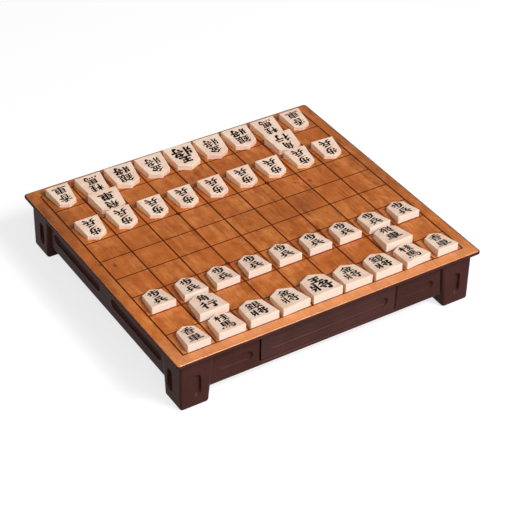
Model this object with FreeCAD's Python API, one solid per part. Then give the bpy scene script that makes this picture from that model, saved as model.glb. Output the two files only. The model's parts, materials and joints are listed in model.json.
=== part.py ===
"""Shogi board set: a framed playing board on four corner legs, with two storage drawers and forty pieces.

Axes: +X to the right along the front drawer, +Y from the front towards the rear, +Z up.
Origin: the centre of the footprint, on the surface that the legs stand on. Every length is in millimetres.
"""
import FreeCAD, Part
import math
import os
from typing import Iterable, NamedTuple

Vec = FreeCAD.Vector

# ---- playing field and board panel -------------------------------------------------------------------
FILES = 9
RANKS = 9
CELL_X = 30.0
CELL_Y = 27.4
FIELD_MARGIN = 10.2
PANEL_T = 3.5
PANEL_EDGE_R = 0.8
PANEL_CORNER_R = 2.0
PANEL_FIT = 0.1

# ---- top frame: the deck under the panel and the lip around it ----------------------------------------
LIP_W = 1.0
LIP_BELOW_PANEL = 0.6
DECK_T = 2.0
FLANGE_CORNER_R = 3.0
FLANGE_BEVEL = 2.8
FLANGE_TOP_R = 0.4

# ---- legs ---------------------------------------------------------------------------------------------
BOARD_HEIGHT = 52.0
LEG_INSET = 5.2
LEG_TOP_W = 30.6
LEG_FOOT_W = 26.1
LEG_WALL = 3.6
LEG_CORNER_R = 2.5
LEG_FOOT_R = 3.2
LEG_EDGE_R = 2.9
LEG_COLUMN_R = 4.0
LEG_COLUMN_IN = 14.0

# ---- aprons and the drawer windows ---------------------------------------------------------------------
APRON_SET_BACK = 3.0
APRON_T = 3.5
APRON_BOTTOM = 12.7
APRON_TONGUE = 6.0
APRON_EDGE_R = 1.8
SILL_H = 4.0
WINDOW_W = 133.0
WINDOW_H = 27.0
WINDOW_CORNER_R = 2.5
WINDOW_BEVEL = 0.9

# ---- sunk oblong panels that decorate the legs, aprons and drawer fronts --------------------------------
SUNK_DEPTH = 2.0
SUNK_ROUND = 1.9
SUNK_H = 9.0
SUNK_MID_Z = 28.5
FRONT_SUNK_L = 31.0
FRONT_SUNK_MID = 88.8
SIDE_SUNK_L = 83.5
SIDE_SUNK_GAP = 20.0
LEG_SUNK_L = 22.0
LEG_SUNK_W = 8.2
LEG_SUNK_DEPTH = 2.3
LEG_SUNK_SLOPE = 0.5
LEG_SUNK_END_SLOPE = 1.9
LEG_SUNK_MID_Z = 21.6
LEG_SUNK_IN = 14.6
LEG_SIDE_SUNK_IN = 17.0

# ---- base panel, drawer guides and divider ---------------------------------------------------------------
BASE_UP = 1.0
BASE_T = 2.0
BASE_FIT = 0.2
GUIDE_WALL = 4.5
RUNNER_W = 5.0
RUNNER_GAP = 0.3
DIVIDER_T = 3.0

# ---- drawers ----------------------------------------------------------------------------------------------
FRONT_RECESS = 1.0
FRONT_T = 2.2
FRONT_GAP = 1.0
FRONT_ASIDE = 0.7
FRONT_GAP_Z = 0.3
FRONT_EDGE_R = 0.3
DRAWER_SUNK_END = 7.8
TRAY_WALL = 2.0
TRAY_FLOOR = 2.0
TRAY_SIDE_GAP = 1.0
TRAY_BELOW_WINDOW = 0.6
TRAY_BACK_GAP = 0.4
DRAWER_TRAVEL = 85.0
STOP_L = 5.0
STOP_RISE = 2.0
STOP_GAP = 0.3

# ---- screws --------------------------------------------------------------------------------------------------
SCREW_R = 1.4
SCREW_HEAD_R = 2.8
SCREW_HEAD_H = 1.4
DECK_SCREW_L = 14.0
BASE_SCREW_L = 11.0
BASE_SCREWS_PER_GUIDE = 3
BASE_SCREW_END = 18.0

# ---- playing pieces ------------------------------------------------------------------------------------------
SIDE_TAPER_DEG = 6.3
APEX_SLOPE_DEG = 26.5
TOP_SLOPE_DEG = 7.1
PIECE_EDGE_R = 0.6
PIECE_GAP = 0.4
HEEL_SET = 0.4


class Kind(NamedTuple):
    """Sizes of one kind of piece.

    Args:
        spare: how much narrower the heel is than a cell.
        length: from heel to tip.
        heel: thickness at the heel.
    """

    spare: float
    length: float
    heel: float

    @property
    def width(self) -> float:
        """Width across the heel."""
        return CELL_X - self.spare


KING = Kind(spare=1.6, length=30.4, heel=8.3)
MAJOR = Kind(spare=2.6, length=27.6, heel=7.9)
GENERAL = Kind(spare=3.2, length=28.0, heel=7.6)
KNIGHT = Kind(spare=4.9, length=26.5, heel=7.3)
LANCE = Kind(spare=8.8, length=26.4, heel=7.0)
PAWN = Kind(spare=7.6, length=25.0, heel=6.6)

# Pieces that a player set down a little askew, in degrees, anticlockwise from above.
ASKEW = {
    "near_gold_left": 2.5,
    "near_knight_right": 3.5,
    "near_pawn_8": 2.5,
    "far_pawn_1": -3.0,
    "far_silver_right": -2.5,
    "far_king": -2.0,
}

# ---- derived sizes ---------------------------------------------------------------------------------------------
FIELD_X = FILES * CELL_X
FIELD_Y = RANKS * CELL_Y
PANEL_X = FIELD_X + 2 * FIELD_MARGIN
PANEL_Y = FIELD_Y + 2 * FIELD_MARGIN
FLANGE_X = PANEL_X + 2 * (PANEL_FIT + LIP_W)
FLANGE_Y = PANEL_Y + 2 * (PANEL_FIT + LIP_W)
PANEL_BOTTOM = BOARD_HEIGHT - PANEL_T
LIP_TOP = BOARD_HEIGHT - LIP_BELOW_PANEL
DECK_BOTTOM = PANEL_BOTTOM - DECK_T

LEG_X = FLANGE_X / 2 - LEG_INSET
LEG_Y = FLANGE_Y / 2 - LEG_INSET
APRON_X = LEG_X - APRON_SET_BACK
APRON_Y = LEG_Y - APRON_SET_BACK
APRON_IN_X = APRON_X - APRON_T
APRON_IN_Y = APRON_Y - APRON_T
SILL_TOP = APRON_BOTTOM + SILL_H
WINDOW_TOP = SILL_TOP + WINDOW_H

BASE_BOTTOM = APRON_BOTTOM + BASE_UP
BASE_TOP = BASE_BOTTOM + BASE_T
FRONT_HALF = WINDOW_W / 2 - FRONT_GAP
TRAY_BOTTOM = SILL_TOP + FRONT_GAP_Z
TRAY_TOP = WINDOW_TOP - TRAY_BELOW_WINDOW
TRAY_HALF = FRONT_HALF - TRAY_WALL
RUNNER_TOP = TRAY_BOTTOM - RUNNER_GAP
GUIDE_IN = TRAY_HALF + TRAY_SIDE_GAP
GUIDE_MID = GUIDE_IN + GUIDE_WALL / 2


# ---- shapes shared by several pieces ----------------------------------------------------------------------------
def block(x: tuple, y: tuple, z: tuple) -> Part.Shape:
    """Box between two values on each axis.

    Args:
        x, y, z: the low and the high value on that axis.

    Returns:
        The box.
    """
    return Part.makeBox(x[1] - x[0], y[1] - y[0], z[1] - z[0], Vec(x[0], y[0], z[0]))


def upright_edges(shape: Part.Shape) -> list:
    """Straight edges of a shape that run along Z."""
    found = []
    for edge in shape.Edges:
        start, end = edge.Vertexes[0].Point, edge.Vertexes[-1].Point
        if math.hypot(end.x - start.x, end.y - start.y) < 1e-6:
            found.append(edge)
    return found


def edges_at(shape: Part.Shape, z: float) -> list:
    """Edges of a shape that lie in the level plane at a height."""
    return [e for e in shape.Edges if abs(e.BoundBox.ZMin - z) < 1e-6 and abs(e.BoundBox.ZMax - z) < 1e-6]


def edges_in_face(shape: Part.Shape, y: float) -> list:
    """Edges of a shape that lie in the upright plane at a Y."""
    return [e for e in shape.Edges if abs(e.BoundBox.YMin - y) < 1e-6 and abs(e.BoundBox.YMax - y) < 1e-6]


def slab(size_x: float, size_y: float, z: tuple, corner_r: float) -> Part.Shape:
    """Level plate about the origin with round corners.

    Args:
        size_x, size_y: overall size.
        z: bottom and top.
        corner_r: radius of the four corners.

    Returns:
        The plate.
    """
    plate = block((-size_x / 2, size_x / 2), (-size_y / 2, size_y / 2), z)
    return plate.makeFillet(corner_r, upright_edges(plate))


def oblong_wire(length: float, width: float, depth: float) -> Part.Wire:
    """Outline with round ends, in the XZ plane at Y = depth, longest along X."""
    r = width / 2
    c = length / 2 - r
    top = Part.LineSegment(Vec(-c, depth, r), Vec(c, depth, r))
    right = Part.Arc(Vec(c, depth, r), Vec(c + r, depth, 0), Vec(c, depth, -r))
    bottom = Part.LineSegment(Vec(c, depth, -r), Vec(-c, depth, -r))
    left = Part.Arc(Vec(-c, depth, -r), Vec(-c - r, depth, 0), Vec(-c, depth, r))
    return Part.Wire([curve.toShape() for curve in (top, right, bottom, left)])


def sunk_panel(length: float, width: float, depth: float, slope: float, end_slope: float) -> Part.Shape:
    """Cutter for one sunk oblong with sloping walls, sunk towards +Y from the plane Y = 0.

    Args:
        length: along X at the surface.
        width: along Z at the surface.
        depth: of the floor below the surface.
        slope: how far its long walls lean in between the surface and the floor.
        end_slope: how far its round ends lean in.

    Returns:
        The cutter, about the origin.
    """
    floor = oblong_wire(length - 2 * end_slope, width - 2 * slope, depth)
    return Part.makeLoft([oblong_wire(length, width, 0.0), floor], True, True)


def level_sunk_panel(length: float) -> Part.Shape:
    """Cutter for one scooped oblong of the aprons and the drawer fronts, rounded where its walls meet the floor."""
    scoop = Part.Face(oblong_wire(length, SUNK_H, 0.0)).extrude(Vec(0, SUNK_DEPTH, 0))
    return scoop.makeFillet(SUNK_ROUND, edges_in_face(scoop, SUNK_DEPTH))


def moved(shape: Part.Shape, x: float = 0.0, y: float = 0.0, z: float = 0.0) -> Part.Shape:
    """Copy of a shape, shifted."""
    copy = shape.copy()
    copy.translate(Vec(x, y, z))
    return copy


def turned(shape: Part.Shape, degrees: float) -> Part.Shape:
    """Copy of a shape, turned about the Z axis."""
    copy = shape.copy()
    copy.rotate(Vec(0, 0, 0), Vec(0, 0, 1), degrees)
    return copy


def screw(length: float) -> Part.Shape:
    """Countersunk screw: head top at the origin, pointing down.

    Args:
        length: from the top of the head to the tip.

    Returns:
        The screw.
    """
    head = Part.makeCone(SCREW_R, SCREW_HEAD_R, SCREW_HEAD_H, Vec(0, 0, -SCREW_HEAD_H))
    shank = Part.makeCylinder(SCREW_R, length - SCREW_R, Vec(0, 0, -length + SCREW_R))
    tip = Part.makeCone(0.0, SCREW_R, SCREW_R, Vec(0, 0, -length))
    drive = block((-SCREW_R, SCREW_R), (-0.3, 0.3), (-0.6, 0.0))
    return head.fuse([shank, tip]).removeSplitter().cut([drive, turned(drive, 90)])


def screw_hole(length: float) -> Part.Shape:
    """Cutter for a screw's seat and pilot hole, of the screw's own outline."""
    head = Part.makeCone(SCREW_R, SCREW_HEAD_R, SCREW_HEAD_H, Vec(0, 0, -SCREW_HEAD_H))
    pilot = Part.makeCylinder(SCREW_R, length, Vec(0, 0, -length))
    return head.fuse(pilot)


# ---- board panel and top frame -------------------------------------------------------------------------------------
def leg_column_places() -> list:
    """Centres of the four screw columns in the legs."""
    x = LEG_X - LEG_COLUMN_IN
    y = LEG_Y - LEG_COLUMN_IN
    return [(-x, -y), (x, -y), (-x, y), (x, y)]


def make_board_panel() -> Part.Shape:
    """Playing panel with a rounded upper edge."""
    panel = slab(PANEL_X, PANEL_Y, (PANEL_BOTTOM, BOARD_HEIGHT), PANEL_CORNER_R)
    return panel.makeFillet(PANEL_EDGE_R, edges_at(panel, BOARD_HEIGHT))


def make_top_frame() -> Part.Shape:
    """Deck with a low lip that holds the panel, and countersunk holes over the legs."""
    frame = slab(FLANGE_X, FLANGE_Y, (DECK_BOTTOM, LIP_TOP), FLANGE_CORNER_R)
    frame = frame.makeChamfer(FLANGE_BEVEL, edges_at(frame, DECK_BOTTOM))
    frame = frame.makeFillet(FLANGE_TOP_R, edges_at(frame, LIP_TOP))
    recess = slab(
        PANEL_X + 2 * PANEL_FIT,
        PANEL_Y + 2 * PANEL_FIT,
        (PANEL_BOTTOM, BOARD_HEIGHT),
        PANEL_CORNER_R + PANEL_FIT,
    )
    holes = [moved(screw_hole(DECK_SCREW_L), x, y, PANEL_BOTTOM) for x, y in leg_column_places()]
    return frame.cut([recess] + holes)


# ---- aprons ------------------------------------------------------------------------------------------------------------
def apron_plate(half: float, face: float) -> Part.Shape:
    """Plain front apron plate with its outer face at Y = -face and its lower outer edge rounded."""
    plate = block((-half, half), (-face, -face + APRON_T), (APRON_BOTTOM, DECK_BOTTOM))
    lower = [e for e in edges_in_face(plate, -face) if e.BoundBox.ZMax < APRON_BOTTOM + APRON_EDGE_R]
    return plate.makeFillet(APRON_EDGE_R, lower)


def front_plate() -> Part.Shape:
    """Apron plate of the drawer sides, with tongues that reach into the legs."""
    return apron_plate(LEG_X - LEG_TOP_W + APRON_TONGUE, APRON_Y)


def side_plate() -> Part.Shape:
    """Apron plate of the closed sides, with tongues that reach into the legs."""
    return apron_plate(LEG_Y - LEG_TOP_W + APRON_TONGUE, APRON_X)


def make_front_apron() -> Part.Shape:
    """Apron with a drawer window between two sunk oblongs, at the front."""
    window = block((-WINDOW_W / 2, WINDOW_W / 2), (-APRON_Y, -APRON_IN_Y), (SILL_TOP, WINDOW_TOP))
    along_y = [e for e in window.Edges if abs(e.BoundBox.YLength - APRON_T) < 1e-6]
    window = window.makeFillet(WINDOW_CORNER_R, along_y)
    sunk = level_sunk_panel(FRONT_SUNK_L)
    sides = [moved(sunk, x, -APRON_Y, SUNK_MID_Z) for x in (-FRONT_SUNK_MID, FRONT_SUNK_MID)]
    open_plate = front_plate().cut(window)
    rim = [e for e in edges_in_face(open_plate, -APRON_Y) if e.BoundBox.XMax < WINDOW_W / 2 + WINDOW_BEVEL]
    rim = [e for e in rim if e.BoundBox.XMin > -WINDOW_W / 2 - WINDOW_BEVEL]
    return open_plate.makeChamfer(WINDOW_BEVEL, rim).cut(sides)


def make_side_apron() -> Part.Shape:
    """Closed apron with two long sunk oblongs, drawn at the front."""
    sunk = level_sunk_panel(SIDE_SUNK_L)
    middle = (SIDE_SUNK_L + SIDE_SUNK_GAP) / 2
    return side_plate().cut([moved(sunk, x, -APRON_X, SUNK_MID_Z) for x in (-middle, middle)])


# ---- legs ----------------------------------------------------------------------------------------------------------------
def leg_section(z: float, inset: float) -> Part.Wire:
    """Level section of a leg whose outer corner is the origin, drawn in from its faces by an inset."""
    width = LEG_FOOT_W + (LEG_TOP_W - LEG_FOOT_W) * z / DECK_BOTTOM
    low, high = inset, width - inset
    return Part.makePolygon([Vec(low, low, z), Vec(high, low, z), Vec(high, high, z), Vec(low, high, z), Vec(low, low, z)])


def leg_loft(z: tuple, inset: float) -> Part.Shape:
    """Tapering block of a leg between two heights."""
    return Part.makeLoft([leg_section(z[0], inset), leg_section(z[1], inset)], True, True)


def is_inner(edge: Part.Shape) -> bool:
    """Whether an edge of the leg lies on one of the two faces that look under the board."""
    return max(edge.BoundBox.XMin, edge.BoundBox.YMin) > LEG_FOOT_W / 2


def make_front_left_leg() -> Part.Shape:
    """Hollow corner leg with a screw column and a sunk oblong on both outer faces."""
    leg = leg_loft((0.0, DECK_BOTTOM), 0.0)
    leg = leg.makeFillet(LEG_FOOT_R, [e for e in edges_at(leg, 0.0) if is_inner(e)])
    standing = [e for e in leg.Edges if e.BoundBox.ZLength > DECK_BOTTOM / 2]
    leg = leg.makeFillet(LEG_CORNER_R, [e for e in standing if not is_inner(e)])
    standing = [e for e in leg.Edges if e.BoundBox.ZLength > DECK_BOTTOM / 2]
    leg = leg.makeFillet(LEG_EDGE_R, [e for e in standing if is_inner(e)])
    hollow = leg_loft((LEG_WALL, DECK_BOTTOM), LEG_WALL)
    column = Part.makeCylinder(
        LEG_COLUMN_R, DECK_BOTTOM - LEG_WALL, Vec(LEG_COLUMN_IN, LEG_COLUMN_IN, LEG_WALL)
    )
    oblong = sunk_panel(LEG_SUNK_L, LEG_SUNK_W, LEG_SUNK_DEPTH, LEG_SUNK_SLOPE, LEG_SUNK_END_SLOPE)
    oblong.rotate(Vec(0, 0, 0), Vec(0, 1, 0), 90)
    on_front = moved(oblong, LEG_SUNK_IN, 0.0, LEG_SUNK_MID_Z)
    on_side = moved(turned(oblong, -90), 0.0, LEG_SIDE_SUNK_IN, LEG_SUNK_MID_Z)
    leg = leg.cut([hollow.cut(column), on_front, on_side])
    leg.translate(Vec(-LEG_X, -LEG_Y, 0))
    x, y = leg_column_places()[0]
    pilot = moved(screw_hole(DECK_SCREW_L), x, y, PANEL_BOTTOM)
    side = turned(side_plate(), -90)
    return leg.cut([pilot, front_plate(), side])


# ---- base panel, guides and divider ---------------------------------------------------------------------------------------
def base_screw_places() -> list:
    """Centres of the base screws, in rows under the two guides."""
    first = -APRON_IN_Y + BASE_SCREW_END
    step = -2 * first / (BASE_SCREWS_PER_GUIDE - 1)
    return [(x, first + i * step) for x in (-GUIDE_MID, GUIDE_MID) for i in range(BASE_SCREWS_PER_GUIDE)]


def upward(shape: Part.Shape) -> Part.Shape:
    """Copy of a shape, turned upside down about the X axis."""
    copy = shape.copy()
    copy.rotate(Vec(0, 0, 0), Vec(1, 0, 0), 180)
    return copy


def base_screw_set(shape: Part.Shape) -> list:
    """Copies of a screw or its hole, pointing up at every base screw place."""
    return [moved(upward(shape), x, y, BASE_BOTTOM) for x, y in base_screw_places()]


def make_base_panel() -> Part.Shape:
    """Panel that closes the underside between the aprons, cut away around the legs."""
    half_x = APRON_IN_X - BASE_FIT
    half_y = APRON_IN_Y - BASE_FIT
    panel = block((-half_x, half_x), (-half_y, half_y), (BASE_BOTTOM, BASE_TOP))
    corners = []
    for sign_x in (-1, 1):
        for sign_y in (-1, 1):
            x = sorted((sign_x * LEG_X, sign_x * (LEG_X - LEG_TOP_W - BASE_FIT)))
            y = sorted((sign_y * LEG_Y, sign_y * (LEG_Y - LEG_TOP_W - BASE_FIT)))
            corners.append(block(tuple(x), tuple(y), (BASE_BOTTOM, BASE_TOP)))
    return panel.cut(corners + base_screw_set(screw_hole(BASE_SCREW_L)))


def make_right_guide() -> Part.Shape:
    """Rib from the base to the deck with a low runner that carries the drawers' edge."""
    rib = block((GUIDE_IN, GUIDE_IN + GUIDE_WALL), (-APRON_IN_Y, APRON_IN_Y), (BASE_TOP, DECK_BOTTOM))
    runner = block((GUIDE_IN - RUNNER_W, GUIDE_IN), (-APRON_IN_Y, APRON_IN_Y), (BASE_TOP, RUNNER_TOP))
    return rib.fuse(runner).removeSplitter().cut(base_screw_set(screw_hole(BASE_SCREW_L)))


def make_divider(guides: Iterable[Part.Shape]) -> Part.Shape:
    """Wall between the two drawer bays, fitted around the guides."""
    wall = block((-GUIDE_IN, GUIDE_IN), (-DIVIDER_T / 2, DIVIDER_T / 2), (BASE_TOP, DECK_BOTTOM))
    return wall.cut(list(guides))


# ---- drawers -------------------------------------------------------------------------------------------------------------------
def make_front_drawer() -> Part.Shape:
    """Open tray behind a front with one long sunk oblong, closed at the front of the board.

    It sits a little to the right of the middle, against the right guide.
    """
    face = -APRON_Y + FRONT_RECESS
    back = -DIVIDER_T / 2 - TRAY_BACK_GAP
    front = block((-FRONT_HALF, FRONT_HALF), (face, face + FRONT_T), (TRAY_BOTTOM, WINDOW_TOP - FRONT_GAP_Z))
    corners = [e for e in front.Edges if abs(e.BoundBox.YLength - FRONT_T) < 1e-6]
    front = front.makeFillet(WINDOW_CORNER_R, corners)
    front = front.makeFillet(FRONT_EDGE_R, edges_in_face(front, face))
    outside = block((-TRAY_HALF, TRAY_HALF), (face + FRONT_T, back), (TRAY_BOTTOM, TRAY_TOP))
    inside = block(
        (-TRAY_HALF + TRAY_WALL, TRAY_HALF - TRAY_WALL),
        (face + FRONT_T + TRAY_WALL, back - TRAY_WALL),
        (TRAY_BOTTOM + TRAY_FLOOR, TRAY_TOP),
    )
    stop_y = -APRON_IN_Y + DRAWER_TRAVEL + STOP_GAP
    stops = []
    for sign in (-1, 1):
        x = sorted((sign * TRAY_HALF, sign * (TRAY_HALF - TRAY_WALL)))
        stops.append(block(tuple(x), (stop_y, stop_y + STOP_L), (TRAY_TOP, WINDOW_TOP + STOP_RISE)))
    drawer = front.fuse([outside.cut(inside)] + stops).removeSplitter()
    oblong = moved(level_sunk_panel(2 * (FRONT_HALF - DRAWER_SUNK_END)), 0.0, face, SUNK_MID_Z)
    return moved(drawer.cut(oblong), x=FRONT_ASIDE)


# ---- playing pieces ---------------------------------------------------------------------------------------------------------------
def make_piece(kind: Kind) -> Part.Shape:
    """Five-sided wedge with its heel on Y = 0, its tip towards +Y and its underside on Z = 0.

    Args:
        kind: sizes of this kind of piece.

    Returns:
        The piece.
    """
    taper = math.tan(math.radians(SIDE_TAPER_DEG))
    apex = math.tan(math.radians(APEX_SLOPE_DEG))
    shoulder_y = (kind.length - kind.width / 2 * apex) / (1 - apex * taper)
    shoulder_x = kind.width / 2 - shoulder_y * taper
    outline = [
        Vec(-kind.width / 2, 0, 0),
        Vec(kind.width / 2, 0, 0),
        Vec(shoulder_x, shoulder_y, 0),
        Vec(0, kind.length, 0),
        Vec(-shoulder_x, shoulder_y, 0),
        Vec(-kind.width / 2, 0, 0),
    ]
    prism = Part.Face(Part.makePolygon(outline)).extrude(Vec(0, 0, kind.heel))
    spare = kind.length
    above = Part.makeBox(2 * kind.width, kind.length + 2 * spare, 2 * kind.heel, Vec(-kind.width, -spare, 0))
    above.rotate(Vec(0, 0, 0), Vec(1, 0, 0), -TOP_SLOPE_DEG)
    above.translate(Vec(0, 0, kind.heel))
    wedge = prism.cut(above)
    soft = [e for e in wedge.Edges if e.BoundBox.ZMax > 1e-6]
    return wedge.makeFillet(PIECE_EDGE_R, soft)


def file_x(index: int) -> float:
    """Centre of a file of cells, counted from the left of the near player."""
    return (index + 0.5) * CELL_X - FIELD_X / 2


def row_heels() -> list:
    """Distance of the heels of the three rows from the near edge of the field.

    A row stands on its own line of cells, or clear of the tips behind it where they reach over that line.
    """
    back = HEEL_SET
    majors = max(CELL_Y + HEEL_SET, back + KNIGHT.length + PIECE_GAP)
    pawns = max(2 * CELL_Y + HEEL_SET, majors + MAJOR.length + PIECE_GAP)
    return [back, majors, pawns]


def side_layout() -> list:
    """Name, kind, file and row of the twenty pieces of one player, as that player sees them."""
    left = [("lance", LANCE), ("knight", KNIGHT), ("silver", GENERAL), ("gold", GENERAL)]
    layout = [("king", KING, FILES // 2, 0), ("bishop", MAJOR, 1, 1), ("rook", MAJOR, FILES - 2, 1)]
    for index, (name, kind) in enumerate(left):
        layout.append((name + "_left", kind, index, 0))
        layout.append((name + "_right", kind, FILES - 1 - index, 0))
    layout += [("pawn_%d" % (index + 1), PAWN, index, 2) for index in range(FILES)]
    return layout


def make_pieces() -> dict:
    """Both players' pieces, set up for the start of a game."""
    pieces = {}
    heels = row_heels()
    for side, turn in (("near", 0), ("far", 180)):
        for name, kind, index, row in side_layout():
            node = side + "_" + name
            piece = turned(make_piece(kind), ASKEW.get(node, 0.0))
            piece = moved(piece, file_x(index), heels[row] - FIELD_Y / 2, BOARD_HEIGHT)
            pieces[node] = turned(piece, turn)
    return pieces


# ---- the whole set --------------------------------------------------------------------------------------------------------------------
def make_nodes() -> dict:
    """Every node of the set by name."""
    leg = make_front_left_leg()
    mirrored_x = leg.mirror(Vec(0, 0, 0), Vec(1, 0, 0))
    right_guide = make_right_guide()
    left_guide = turned(right_guide, 180)
    front_apron = make_front_apron()
    side_apron = make_side_apron()
    front_drawer = make_front_drawer()
    deck_screws = [moved(screw(DECK_SCREW_L), x, y, PANEL_BOTTOM) for x, y in leg_column_places()]
    nodes = {
        "board_panel": make_board_panel(),
        "top_frame": make_top_frame(),
        "leg_front_left": leg,
        "leg_front_right": mirrored_x,
        "leg_rear_left": turned(mirrored_x, 180),
        "leg_rear_right": turned(leg, 180),
        "apron_front": front_apron,
        "apron_rear": turned(front_apron, 180),
        "apron_left": turned(side_apron, -90),
        "apron_right": turned(side_apron, 90),
        "base_panel": make_base_panel(),
        "drawer_guide_left": left_guide,
        "drawer_guide_right": right_guide,
        "drawer_divider": make_divider((left_guide, right_guide)),
        "deck_screws": Part.makeCompound(deck_screws),
        "base_screws": Part.makeCompound(base_screw_set(screw(BASE_SCREW_L))),
        "front_drawer": front_drawer,
        "rear_drawer": turned(front_drawer, 180),
    }
    nodes.update(make_pieces())
    return nodes


def main() -> None:
    """Write one STEP file per node into parts/."""
    os.makedirs("parts", exist_ok=True)
    for name, shape in make_nodes().items():
        shape.exportStep(os.path.join("parts", name + ".step"))


main()
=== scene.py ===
"""Looks of a raised shogi board with two drawers and the forty pieces set up on it.

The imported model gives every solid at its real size. This script dresses each solid, prints the lines and
the star points of the playing field, letters the pieces with a brush, and sets up a plain studio.
Lengths are in metres, and angles in degrees, unless a name says otherwise.
"""
import json
import logging
import math
from dataclasses import dataclass, field
from enum import Enum
from typing import Sequence, Union

import bmesh
import bpy
from mathutils import Matrix, Vector


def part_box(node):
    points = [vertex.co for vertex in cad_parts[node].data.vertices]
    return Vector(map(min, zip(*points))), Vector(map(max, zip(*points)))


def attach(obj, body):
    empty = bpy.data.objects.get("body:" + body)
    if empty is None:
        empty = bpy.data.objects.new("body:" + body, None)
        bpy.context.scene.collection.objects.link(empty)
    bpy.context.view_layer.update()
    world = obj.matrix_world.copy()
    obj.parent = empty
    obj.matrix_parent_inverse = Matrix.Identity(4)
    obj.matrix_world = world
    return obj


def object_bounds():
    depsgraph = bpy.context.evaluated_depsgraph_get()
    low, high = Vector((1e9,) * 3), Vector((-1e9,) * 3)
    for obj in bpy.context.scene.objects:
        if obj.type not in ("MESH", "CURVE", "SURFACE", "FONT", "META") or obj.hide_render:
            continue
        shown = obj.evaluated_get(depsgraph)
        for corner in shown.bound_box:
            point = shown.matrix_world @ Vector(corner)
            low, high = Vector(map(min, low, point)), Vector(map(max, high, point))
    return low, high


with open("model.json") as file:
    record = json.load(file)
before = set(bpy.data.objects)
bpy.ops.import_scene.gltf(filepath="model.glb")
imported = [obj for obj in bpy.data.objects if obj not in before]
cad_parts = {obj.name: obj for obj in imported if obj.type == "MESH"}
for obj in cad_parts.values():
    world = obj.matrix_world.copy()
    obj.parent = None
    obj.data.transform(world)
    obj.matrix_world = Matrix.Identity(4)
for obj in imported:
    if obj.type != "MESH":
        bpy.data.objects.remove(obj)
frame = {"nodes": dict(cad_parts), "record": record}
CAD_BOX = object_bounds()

log = logging.getLogger("shogi_board")

Rgb = tuple[float, float, float]
Size = tuple[float, float, float]
Place = tuple[float, float, float]
Span = tuple[float, float]
Point = tuple[float, float]
Operand = Union["Value", float, tuple, Vector]

BOARD = "board"
MM = 0.001
NOISE_MEAN = 0.5
OPAQUE = 1.0
BLACK: Rgb = (0.0, 0.0, 0.0)
WHITE: Rgb = (1.0, 1.0, 1.0)


class Slot(Enum):
    """Finishes that the record names for its solids."""

    BOARD = "board_wood"
    FRAME = "frame_plastic"
    DRAWER = "drawer_plastic"
    INNER = "inner_plastic"
    SCREW = "screw_steel"
    PIECE = "piece_wood"


def linear(red: int, green: int, blue: int) -> Rgb:
    """Colour for a shader from its usual screen values of 0 to 255, by the usual screen curve."""
    shares = (red / 255, green / 255, blue / 255)
    return tuple(s / 12.92 if s <= 0.04045 else ((s + 0.055) / 1.055) ** 2.4 for s in shares)


def even(number: float) -> Size:
    """The same number three times, for a size on all axes or for a grey."""
    return (number, number, number)


# ---- shader expressions ----------------------
class Value:
    """One output of a node, with arithmetic that adds the nodes for it."""

    def __init__(self, graph: "Graph", socket: bpy.types.NodeSocket) -> None:
        """Wrap a socket of a graph."""
        self.graph = graph
        self.socket = socket

    def _combine(self, operation: str, first: Operand, second: Operand) -> "Value":
        """Math node for two numbers, or Vector Math node where one of them is a vector."""
        kind = "VectorMath" if any(is_vector(v) for v in (first, second)) else "Math"
        return self.graph.node(kind, {"operation": operation}, {0: first, 1: second})

    def __add__(self, other: Operand) -> "Value":
        """Sum."""
        return self._combine("ADD", self, other)

    def __radd__(self, other: Operand) -> "Value":
        """Sum, with a plain number first."""
        return self._combine("ADD", other, self)

    def __sub__(self, other: Operand) -> "Value":
        """Difference."""
        return self._combine("SUBTRACT", self, other)

    def __rsub__(self, other: Operand) -> "Value":
        """Difference, with a plain number first."""
        return self._combine("SUBTRACT", other, self)

    def __mul__(self, other: Operand) -> "Value":
        """Product."""
        return self._combine("MULTIPLY", self, other)

    def __rmul__(self, other: Operand) -> "Value":
        """Product, with a plain number first."""
        return self._combine("MULTIPLY", other, self)

    def __truediv__(self, other: Operand) -> "Value":
        """Quotient."""
        return self._combine("DIVIDE", self, other)

    def __rtruediv__(self, other: Operand) -> "Value":
        """Quotient, with a plain number first."""
        return self._combine("DIVIDE", other, self)

    def length(self) -> "Value":
        """Length of a vector."""
        return self.graph.node("VectorMath", {"operation": "LENGTH"}, {0: self})

    def between(self, low: float, high: float) -> "Value":
        """0 below low, 1 above high and a smooth rise from one to the other."""
        sockets = {"Value": self, "From Min": low, "From Max": high}
        return self.graph.node("MapRange", {"interpolation_type": "SMOOTHSTEP"}, sockets)


def is_vector(value: Operand) -> bool:
    """Whether a value is a vector or a colour, and not a number."""
    is_socket = isinstance(value, Value)
    return value.socket.type in ("VECTOR", "RGBA") if is_socket else isinstance(value, (tuple, Vector))


@dataclass(frozen=True)
class Pattern:
    """Smooth cloudy pattern on a surface.

    Args:
        size: of its spots, on each axis.
        detail: how many finer layers it has.
        rough: how strong the finer layers are.
    """

    size: Size
    detail: float = 2.0
    rough: float = 0.5


@dataclass(frozen=True)
class Relief:
    """Fine bumps of a surface.

    Args:
        depth: how far it rises where the height is 1.
        strength: how much of that shows, as a share.
    """

    depth: float
    strength: float


class Blend(Enum):
    """Ways to lay one colour over another."""

    COVER = "MIX"
    MULTIPLY = "MULTIPLY"


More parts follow.
